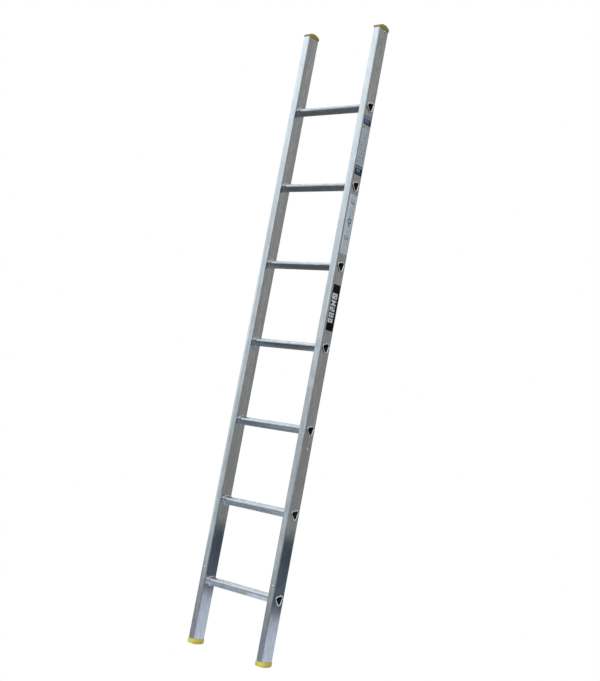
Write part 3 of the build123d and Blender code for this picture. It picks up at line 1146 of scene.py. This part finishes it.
def build_room(studio):
    """Walls that are white to the camera and have their own tones in reflections."""
    world = bpy.data.worlds.new("studio")
    bpy.context.scene.world = world
    world.use_nodes = True
    world.node_tree.nodes.clear()
    start = Wire(world.node_tree)
    way = start.node("ShaderNodeTexCoord", output="Generated")
    x, y, z = (way.node("ShaderNodeSeparateXYZ", None, {0: way}, axis) for axis in range(3))
    light = tone_ramp(z, NEUTRAL_TONES)
    shares = []
    for (along_x, along_y), full, tones in WALLS:
        share = (x * along_x + y * along_y).step(WALL_EDGE, full)
        light = share.blend(light, tone_ramp(z, tones))
        shares.append(share)
    ahead = shares[0]
    seen = start.node("ShaderNodeLightPath", output="Is Camera Ray")
    strength = seen * 1.0 + (1 - seen) * light * studio.room
    colour = z.step(*HORIZON).mix(LOW_TINT, HIGH_TINT)
    colour = seen.mix(ahead.mix(ROOM_TINT, colour), WHITE)
    background = way.node("ShaderNodeBackground", None, {"Color": colour, "Strength": strength})
    output = world.node_tree.nodes.new("ShaderNodeOutputWorld")
    world.node_tree.links.new(background.socket, output.inputs["Surface"])


def build_stage(studio):
    bpy.context.scene.view_settings.view_transform = "Standard"
    build_camera(studio)
    build_floor()
    build_room(studio)


# ---- Add-on ------------------------------------------------------------------------------------

class LADDER_OT_stage(bpy.types.Operator):
    """Pale floor, soft studio room and camera"""
    bl_idname = "ladder.stage"
    bl_label = "Stage"

    def execute(self, context):
        build_stage(context.scene.ladder_studio)
        return {"FINISHED"}


class LADDER_OT_stiles(bpy.types.Operator):
    """Two box-section stiles with a hole in each web for every rung"""
    bl_idname = "ladder.stiles"
    bl_label = "Stiles"

    def execute(self, context):
        build_stiles(context.scene.ladder_sizes, context.scene.ladder_finish)
        return {"FINISHED"}


class LADDER_OT_rungs(bpy.types.Operator):
    """Seven grooved rungs with beads inside and flared ends outside the stiles"""
    bl_idname = "ladder.rungs"
    bl_label = "Rungs"

    def execute(self, context):
        build_rungs(context.scene.ladder_sizes, context.scene.ladder_finish)
        return {"FINISHED"}


class LADDER_OT_feet(bpy.types.Operator):
    """Moulded feet with curved, slotted soles"""
    bl_idname = "ladder.feet"
    bl_label = "Feet"

    def execute(self, context):
        build_feet(context.scene.ladder_sizes, context.scene.ladder_finish)
        return {"FINISHED"}


class LADDER_OT_caps(bpy.types.Operator):
    """Moulded caps with domed crowns"""
    bl_idname = "ladder.caps"
    bl_label = "Top caps"

    def execute(self, context):
        build_caps(context.scene.ladder_sizes, context.scene.ladder_finish)
        return {"FINISHED"}


class LADDER_OT_rivets(bpy.types.Operator):
    """Blind rivets that hold the feet, caps and stile fittings"""
    bl_idname = "ladder.rivets"
    bl_label = "Rivets"

    def execute(self, context):
        build_rivets(context.scene.ladder_finish)
        return {"FINISHED"}


class LADDER_OT_stickers(bpy.types.Operator):
    """Printed films on the right stile's outer web"""
    bl_idname = "ladder.stickers"
    bl_label = "Stickers"

    def execute(self, context):
        build_stickers(context.scene.ladder_finish)
        return {"FINISHED"}


OPERATORS = (
    LADDER_OT_stiles, LADDER_OT_rungs, LADDER_OT_feet, LADDER_OT_caps,
    LADDER_OT_rivets, LADDER_OT_stickers, LADDER_OT_stage,
)
GROUPS = {"ladder_sizes": LadderSizes, "ladder_finish": LadderFinish, "ladder_studio": LadderStudio}


class LADDER_PT_panel(bpy.types.Panel):
    """Sizes, finishes and build steps of the ladder section"""
    bl_label = "Ladder"
    bl_space_type = "VIEW_3D"
    bl_region_type = "UI"
    bl_category = "Ladder"

    def draw(self, context):
        for group, kind in GROUPS.items():
            box = self.layout.box()
            for name in kind.__annotations__:
                box.prop(getattr(context.scene, group), name)
        for operator in OPERATORS:
            self.layout.operator(operator.bl_idname)


CLASSES = (*GROUPS.values(), *OPERATORS, LADDER_PT_panel)


def register():
    for item in CLASSES:
        bpy.utils.register_class(item)
    for name, kind in GROUPS.items():
        setattr(bpy.types.Scene, name, PointerProperty(type=kind))


def unregister():
    for name in GROUPS:
        delattr(bpy.types.Scene, name)
    for item in reversed(CLASSES):
        bpy.utils.unregister_class(item)


def main():
    register()
    bpy.ops.ladder.stiles()
    bpy.ops.ladder.rungs()
    bpy.ops.ladder.feet()
    bpy.ops.ladder.caps()
    bpy.ops.ladder.rivets()
    bpy.ops.ladder.stickers()
    bpy.ops.ladder.stage()


if __name__ == "__main__":
    main()
